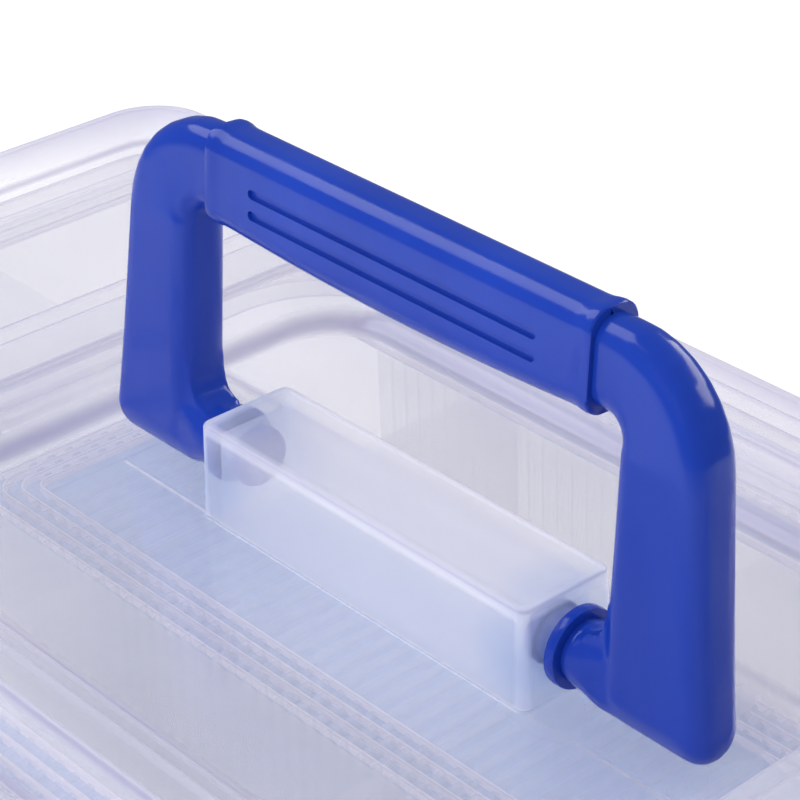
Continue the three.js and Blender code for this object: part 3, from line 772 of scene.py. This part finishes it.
stub_profile = [(34.6, 0), (34.6, 4.5), (35.0, 5.1), (35.5, 5.4), (36.8, 5.4)]
stub_profile += [(36.8, 4.3), (40.9, 4.3), (40.9, 6.5), (41.2, 6.85), (41.6, 6.9), (42.6, 6.9), (43.0, 6.8)]
stub_profile += [(43.1, 6.4), (43.1, 5.1), (43.9, 5.1), (44.1, 5.5), (45.2, 5.6), (48.0, 5.2), (48.0, 0)]
for side in (1, -1):
    profile = [(side * along, radius) for along, radius in stub_profile]
    handle = join([handle, turned("stub", profile, (0, 0, pivot_z), "X")])
handle.name = "blue_carry_handle"
lean_back(handle)
finish_piece(handle, blue, "handle", "carry_handle", slot="blue_plastic", weigh=False)

# %% [markdown]
# The grip sleeve is a tube of the same plastic, pushed over the bar. Its face is flat and tall, its
# ends flare into a thin lip, its underside is full in the middle, and two shallow grooves run along
# each face. It is a tube of rings, outside and then back along the bore, with four long slots cut.

# %% Grip sleeve
grip_half = 44.6
grip_height, grip_depth, grip_belly, grip_corner = 16.8, 9.6, 1.6, 3.7
bore_height, bore_depth, bore_corner = grip_height - 7.0, grip_depth - 4.4, 1.8
rings = []
stations = [(-1, 0.1), (-0.994, 0.5), (-0.975, 0.6), (-0.955, 0.45), (-0.93, 0.1), (-0.9, 0)]
stations += [(t / 10, 0) for t in range(-8, 9)]
stations += [(-t, flare) for t, flare in reversed(stations[:6])]
for t, flare in stations:
    belly = grip_belly * (1 - t * t)
    place = (t * grip_half, 0, pivot_z + bar_rise - belly / 2)
    rings.append(((grip_height + belly + flare) / 2, (grip_depth + flare) / 2, grip_corner, place, -90))
for x in (grip_half, -grip_half):
    rings.append((bore_height / 2, bore_depth / 2, bore_corner, (x, 0, pivot_z + bar_rise), -90))
sleeve = skin("blue_grip_sleeve", rings, steps=7, tube=True)

# %% Grooves of the sleeve
groove_half, groove_wide, groove_deep = 33.4, 1.6, 0.75
groove_drop, groove_apart, lip_round = 1.1, 1.85, 0.28
for face in (-1, 1):
    for level in (-1, 1):
        ends = [(groove_half, groove_wide / 2, groove_wide / 2 - 0.01, (0, 0, z), 0) for z in (0, 3)]
        slot = skin("slot", ends, steps=6)
        turn(slot, "X", -face * 90)
        z = pivot_z + bar_rise - groove_drop + level * groove_apart
        combine(sleeve, shift(slot, (0, face * (grip_depth / 2 - groove_deep), z)), "DIFFERENCE")
weld(sleeve)
apply_modifier(sleeve, "BEVEL", width=lip_round * MM, segments=2, limit_method="ANGLE",
               angle_limit=math.radians(50))
lean_back(sleeve)
weld(sleeve)
finish_piece(sleeve, blue, "handle", "grip_sleeve", slot="blue_plastic")

# %% [markdown]
# The box has one outline in plan: a long rounded rectangle. Lid, tub and trays all follow it, each
# moved in by so much, with tighter corners the further in it is.

# %% Outline of the box
box_half_x, box_half_y, box_corner = 182, 89, 15


def box_ring(z, by):
    """The box's outline at height z, moved in by so many millimetres."""
    return (z, box_half_x - by, box_half_y - by, max(box_corner - by, 3))


# %% [markdown]
# The lid is one moulding with walls of even thickness, so its whole section is one line: over the boss,
# down into the recess, up and over the raised ridge, across the deck, over the rim, down the skirt, and
# back along the underside to the hollow of the boss. Every corner is softened, as tool makers do.

# %% Lid
wall = 2.2
recess_x, recess_y, recess_corner = 80, 55, 14
recess_out_x, recess_out_y = 4, 7
ridge_x, ridge_y, ridge_corner, ridge_out = 102, 72, 24, 2
floor_z, rim_z, ridge_z, deck_z, deck_low, skirt_z = 154.9, 158.9, 166.9, 150.5, 148.3, 136.9
boss_z, boss_hollow_z = floor_z + 18, floor_z + 16
rim_out, rim_in = 0.8, 3.0
# the recess wall leans out as it goes up; its underside ends one wall lower, at this share of the lean
under = (ridge_z - wall - (floor_z - wall)) / (ridge_z - (floor_z - wall))
lid_profile = [
    # over the boss and down into the recess
    ((boss_z, 36.6, 6.5, 1.0), 0),
    ((boss_z, 39.5, 9.4, 1.6), 0.8, 0.7),
    ((floor_z, 40, 9.9, 1.6), 0.9, 0),
    ((floor_z, recess_x, recess_y, recess_corner), 4.5),
    # up and over the ridge, and across the deck
    ((ridge_z, recess_x + recess_out_x, recess_y + recess_out_y, recess_corner + recess_out_x), 1.1),
    ((ridge_z, ridge_x, ridge_y, ridge_corner), 2.2),
    ((deck_z, ridge_x + ridge_out, ridge_y + ridge_out, ridge_corner + ridge_out), 2.0),
    (box_ring(deck_z, rim_in), 1.6),
    # over the rim and down the skirt
    (box_ring(rim_z, rim_in), 0.7, 1, 0.7),
    (box_ring(rim_z, rim_out), 1.1, 1, 0.7),
    (box_ring(skirt_z, 0), 0.7),
    (box_ring(skirt_z, wall), 0.7),
    # back along the underside
    (box_ring(deck_low, wall), 1.2),
    ((deck_low, ridge_x + ridge_out - wall, ridge_y + ridge_out - wall,
      ridge_corner + ridge_out - wall), 1.2),
    ((ridge_z - wall, ridge_x - wall, ridge_y - wall, ridge_corner - wall), 1.4),
    ((ridge_z - wall, recess_x + wall + recess_out_x * under, recess_y + wall + recess_out_y * under,
      recess_corner + wall + recess_out_x * under), 1.4),
    ((floor_z - wall, recess_x + wall, recess_y + wall, recess_corner + wall), 4.0),
    # up into the hollow of the boss
    ((floor_z - wall, 37.6, 7.9, 1.0), 0.8, 0),
    ((boss_hollow_z, 37.1, 7.4, 1.0), 0.6, 0.3),
    ((boss_hollow_z, 35, 5.2, 0.9), 0),
]
lid = moulding("clear_lid", lid_profile, steps=14)

# %% [markdown]
# Each end of the boss gets a bore for a stub of the handle. Each end of the lid gets two ears with a
# bore through both, for the latch to hang from.

# %% Bores and ears of the lid
boss_wall_x, stub_bore = 38.8, 4.6
latch_x, latch_z, trunnion_bore = 187, 154, 2.0
ear, ear_root, ear_thick, ear_starts = 4.2, 181.0, 4, (20.3, -24.3)


def drill(piece, radius, half_length, centre, axis, steps=48):
    """Cuts a round bore along an axis."""
    profile = [(-half_length, 0), (-half_length, radius), (half_length, radius), (half_length, 0)]
    combine(piece, turned("bore", profile, centre, axis, steps), "DIFFERENCE")


for side in (1, -1):
    drill(lid, stub_bore, 4, (side * boss_wall_x, 0, pivot_z), "X")
for side in (1, -1):
    outline = [(side * ear_root, latch_z - ear)]
    for k in range(-6, 7):
        angle = k * math.pi / 12
        outline.append((side * (latch_x + ear * math.cos(angle)), latch_z + ear * math.sin(angle)))
    outline.append((side * ear_root, latch_z + ear))
    for y in ear_starts:
        combine(lid, outline_solid("ear", outline, y, y + ear_thick, 0.4), "UNION")
    drill(lid, trunnion_bore, 30, (side * latch_x, 0, latch_z), "Y", 24)
finish_piece(lid, clear_lid, "lid", "lid", slot="clear_plastic")

# %% [markdown]
# The tub is the same kind of moulding. Its wall steps out twice on the way up, and each step is a ledge
# that a tray hangs from. At the top it turns over into a lip that the lid's skirt fits round. Under
# each end, a shelf on two gussets gives the latch something to catch.

# %% Tub
low_ledge, high_ledge, tub_top, lip_low = 104.3, 144.6, 148, 140
foot_up, inner_floor = 1.6, 2.2
tub_profile = [
    # underside, foot ring and outer wall with its two steps
    ((foot_up, 150, 57, 4), 0),
    (box_ring(foot_up, 26.5), 0.5),
    (box_ring(0, 26.5), 0.4),
    (box_ring(0, 21.5), 0.9),
    (box_ring(102.1, 14.3), 1.2),
    (box_ring(low_ledge, 11.6), 1.2),
    (box_ring(142.4, 10.3), 1.2),
    (box_ring(high_ledge, 6.8), 0.7),
    # the lip: out, down and up again
    (box_ring(145.8, 6.8), 0.5),
    (box_ring(145.8, 4.9), 0.5),
    (box_ring(lip_low, 4.9), 0.6),
    (box_ring(lip_low, 2.7), 0.6),
    (box_ring(tub_top, 2.7), 1.0),
    (box_ring(tub_top, 9.0), 0.6),
    # down the inside, ledge by ledge, to the floor
    (box_ring(high_ledge, 9.0), 0.4),
    (box_ring(high_ledge, 12.5), 0.9),
    (box_ring(low_ledge, 13.8), 0.4),
    (box_ring(low_ledge, 16.5), 0.9),
    (box_ring(inner_floor, 23.7), 3.0),
    (box_ring(inner_floor, 42), 0),
]
tub = moulding("clear_tub", tub_profile, steps=12)

# %% Catch shelves of the tub
shelf_root, shelf_end, shelf_half, shelf_low, shelf_high = 168.9, 186.4, 18, 124.5, 127.5
gusset = [(shelf_root, 126), (183.8, 126), (shelf_root, 113.5)]
gusset_thick, gusset_starts = 2.2, (-17.9, 15.7)
for side in (1, -1):
    near, far = sorted((side * shelf_root, side * shelf_end))
    shelf = block("shelf", (near, -shelf_half, shelf_low), (far, shelf_half, shelf_high), 0.5)
    combine(tub, shelf, "UNION")
    outline = [(side * x, z) for x, z in gusset]
    for y in gusset_starts:
        combine(tub, outline_solid("gusset", outline, y, y + gusset_thick), "UNION")
weld(tub)
finish_piece(tub, clear_tub, "tub", "base_tub", slot="clear_plastic")

# %% [markdown]
# Both trays come from one recipe. A tray is a shallow moulding with a flat rim that it hangs by, and two
# partitions make it three lanes. Along the lanes stand small upright ribs. One rib is modelled, an
# Array modifier makes a row of it, and each row is a copy. The gaps between ribs take the dividers.

# %% Rows and copies
def row_of(piece, count, step):
    """Repeats the piece in a row. step is the way from one to the next."""
    apply_modifier(piece, "ARRAY", count=count, use_relative_offset=False, use_constant_offset=True,
                   constant_offset_displace=mm(step))
    return piece


def copy_of(piece, name):
    twin = piece.copy()
    twin.data = piece.data.copy()
    twin.name = name
    scene.collection.objects.link(twin)
    return twin


# %% Trays
# top, how far in the flange ends, how far in the body starts
tray_levels = {"upper": (146.9, 9.5, 15.1), "lower": (106.6, 14.3, 19.1)}
tray_height, tray_wall, tray_draft, flange_thick, floor_in = 40, 1.6, 0.6, 2, 14
slot_pitch, slot_width, slot_depth, rib_count = 4.0, 2.4, 3.0, 44
sunk = 0.2


def lanes_of(level):
    """The middles of the three lanes, and half the clear width of one."""
    inside = box_half_y - tray_levels[level][2] - tray_wall
    pitch = (2 * inside + tray_wall) / 3
    return [-pitch, 0, pitch], (pitch - tray_wall) / 2


def tray_shell(level):
    top, flange, body = tray_levels[level]
    bottom = top - tray_height
    profile = [
        (box_ring(bottom, body + floor_in), 0),
        (box_ring(bottom, body + tray_draft), 2.0),
        (box_ring(top - flange_thick, body), 0.6),
        (box_ring(top - flange_thick, flange), 0.6),
        (box_ring(top, flange), 0.6),
        (box_ring(top, body + tray_wall), 0.5),
        (box_ring(bottom + tray_wall, body + tray_wall + tray_draft), 1.5),
        (box_ring(bottom + tray_wall, body + tray_wall + floor_in), 0),
    ]
    return moulding("clear_" + level + "_tray", profile, steps=8)


def tray_inside(level):
    """The two partitions, and a row of ribs on each side of each lane. All reach a little into the
    floor and the walls."""
    top, flange, body = tray_levels[level]
    centres, clear_half = lanes_of(level)
    floor_at, reach = top - tray_height + tray_wall - sunk, box_half_x - body - tray_wall
    parts = []
    for y in (centres[0] / 2, centres[2] / 2):
        low, high = (-reach, y - tray_wall / 2, floor_at), (reach, y + tray_wall / 2, top)
        parts.append(block("partition", low, high, 0.3))
    start, rib_half = -(rib_count - 1) / 2 * slot_pitch, (slot_pitch - slot_width) / 2
    low = (start - rib_half, clear_half - slot_depth, floor_at)
    high = (start + rib_half, clear_half + sunk, top)
    row = row_of(block("rib", low, high, 0.35), rib_count, (slot_pitch, 0, 0))
    for centre in centres:
        for across in (0, -(2 * clear_half - slot_depth + sunk)):
            parts.append(shift(copy_of(row, "ribs"), (0, centre + across, 0)))
    bpy.data.objects.remove(row)
    return parts


# %% [markdown]
# A divider is a thin sheet that stands across a lane, with its edges in two slots. Its lower corners
# are cut off, so that it finds its way in. A thicker rim along the top is what the fingers hold.

# %% Dividers
divider_slots = {"left": -12, "right": 7}
divider_play, divider_half, divider_cut = 1.0, 0.8, 2
lift, below_top = 0.3, 1
grip_high, grip_thick_half, grip_short = 2.4, 1.6, 3.4


def divider(name, level):
    top = tray_levels[level][0]
    half = lanes_of(level)[1] - divider_play
    low, high = top - tray_height + tray_wall + lift, top - below_top
    outline = [(half - divider_cut, low), (half, low + divider_cut), (half, high)]
    outline += [(-half, high), (-half, low + divider_cut), (-half + divider_cut, low)]
    sheet = outline_solid(name, outline, -divider_half, divider_half, 0.3)
    turn(sheet, "Z", -90)
    rim = block("rim", (-grip_thick_half, -half + grip_short, high - grip_high),
                (grip_thick_half, half - grip_short, high), 0.5)
    combine(sheet, rim, "UNION")
    return sheet


# %% Both trays with their dividers
for level, material in (("upper", clear_tray), ("lower", clear_tub)):
    tray = join([tray_shell(level), *tray_inside(level)])
    finish_piece(tray, material, level + "_tray", level + "_tray", slot="clear_plastic")
    for lane, centre in zip(("front", "middle", "back"), lanes_of(level)[0]):
        for place, count in divider_slots.items():
            name = f"{level}_divider_{lane}_{place}"
            sheet = shift(divider("clear_" + name, level), (count * slot_pitch, centre, 0))
            finish_piece(sheet, clear_tray, level + "_dividers", name, slot="clear_plastic")

# %% [markdown]
# Under the recess, a frame of slots runs round the middle lane of the upper tray: four thin upright
# walls, one inside the other, with short cross ribs between them and a web below, whose bluish colour
# is painted shade, the darker look down into the slots. Two more stretches of slots lie nearer the
# middle, and two run along the tray's long sides. Each cross rib is a copy of one small block.

# %% Frames and walls of the comb
comb_top, comb_deep, web_deep = 146.9, 1.5, 2.2
comb_low, web_low, web_high = comb_top - comb_deep, comb_top - web_deep, comb_top - comb_deep - 0.05
rib_top = comb_top - 0.7
frames = [(80.0, 18.2, 3.0), (82.4, 21.2, 4.2), (84.8, 24.2, 5.4), (87.2, 27.2, 6.6)]
line_wide, rib_wide = 0.6, 1.3
side_half_x = 88
side_lines = (61.5, 64.9, 68.3, 71.5)


def ring_wall(name, half_a, half_b, radius, wide, z0, z1):
    """A thin upright wall along a rounded rectangle."""
    outer, inner = (half_a, half_b, radius), (half_a - wide, half_b - wide, radius - wide)
    profile = [((z1, *outer), 0.2), ((z0, *outer), 0), ((z0, *inner), 0), ((z1, *inner), 0.2)]
    return moulding(name, profile, steps=4, tube=True)


lines = [ring_wall("line", *frame_size, line_wide, comb_low, comb_top) for frame_size in frames]
for side in (1, -1):
    for y in side_lines:
        low, high = sorted((side * y, side * (y - line_wide)))
        lines.append(block("line", (-side_half_x, low, comb_low), (side_half_x, high, comb_top)))
comb = join(lines)
comb.name = "clear_comb_lines"
finish_piece(comb, comb_line, "upper_tray", slot="clear_plastic")

# %% Cross ribs of the comb
frame_row, middle_row, side_row = (17.6, 26.9), (1.0, 17.2), (61.5, 71.5)
long_count, start_x = 38, -74.0
end_row, end_start, end_count = (79.8, 86.9), -14.5, 8
ribs = []
for side in (1, -1):
    for row in (frame_row, middle_row, side_row):
        low, high = sorted(side * y for y in row)
        # the middle rows start half a pitch further in, and have one rib less
        less = 1 if row == middle_row else 0
        count, start = long_count - less, start_x + less * slot_pitch / 2
        rib = block("rib", (start, low, comb_low), (start + rib_wide, high, rib_top))
        ribs.append(row_of(rib, count, (slot_pitch, 0, 0)))
    low, high = sorted(side * x for x in end_row)
    rib = block("rib", (low, end_start, comb_low), (high, end_start + rib_wide, rib_top))
    ribs.append(row_of(rib, end_count, (0, slot_pitch, 0)))
comb_ribs = join(ribs)
comb_ribs.name = "clear_comb_ribs"
finish_piece(comb_ribs, comb_rib, "upper_tray", slot="clear_plastic")

# %% Web of the comb
# The web's bluish colour is painted shade, the darker look down into the slots.
webs = [ring_wall("web", 86.9, 26.9, 6.3, 9.4, web_low, web_high)]
for side in (1, -1):
    for row, reach in (((0.6, 17.45), 77.4), (side_row, side_half_x)):
        low, high = sorted(side * y for y in row)
        webs.append(block("web", (-reach, low, web_low), (reach, high, web_high)))
web = join(webs)
web.name = "clear_comb_web"
finish_piece(web, comb_painted_shade, "upper_tray", slot="clear_plastic")

# %% [markdown]
# A latch is a plate that hangs from a barrel on two short trunnions. Its bead snaps under the tub's
# shelf, and the tab at its lower edge kicks out for a fingertip. It is an outline drawn out along Y,
# with the turned barrel added. The second latch is made the same way, mirrored to the other end.

# %% Latches
inner_x, plate_x, bead_x, bead_z, tab_z = 187.3, 189.9, 184.4, 124.2, 110.0
tab_root, curve_z, lean_in = tab_z + 7.6, 132, 0.6
outline = [(inner_x, latch_z), (inner_x, bead_z), (bead_x, bead_z), (bead_x + 0.4, bead_z - 1.2)]
outline += [(inner_x, bead_z - 4.2), (inner_x + 0.6, tab_z + 7), (inner_x + 4.6, tab_z)]
outline += [(inner_x + 7.0, tab_z + 0.6), (plate_x + lean_in, tab_root)]
# the outer face leans in on its way up to the barrel, along a soft curve
for k in range(1, 7):
    t = k / 6
    out = 2 * t * (1 - t) * lean_in + (1 - t) ** 2 * lean_in
    outline.append((plate_x + out, tab_root * (1 - t) ** 2 + curve_z * 2 * t * (1 - t) + latch_z * t * t))
barrel_half = [(19.6, 3.3), (20, 2.9), (20, 1.7), (23.7, 1.7), (24, 1.4), (24, 0)]
barrel_profile = [(-along, radius) for along, radius in reversed(barrel_half)] + barrel_half
for side, name in ((1, "right_latch"), (-1, "left_latch")):
    points = [(side * x, z) for x, z in outline]
    latch = outline_solid("blue_" + name, points, -20, 20, 0.5)
    barrel = turned("barrel", barrel_profile, (side * latch_x, 0, latch_z), "Y", 32)
    combine(latch, barrel, "UNION")
    finish_piece(latch, blue, name, name, slot="blue_plastic")
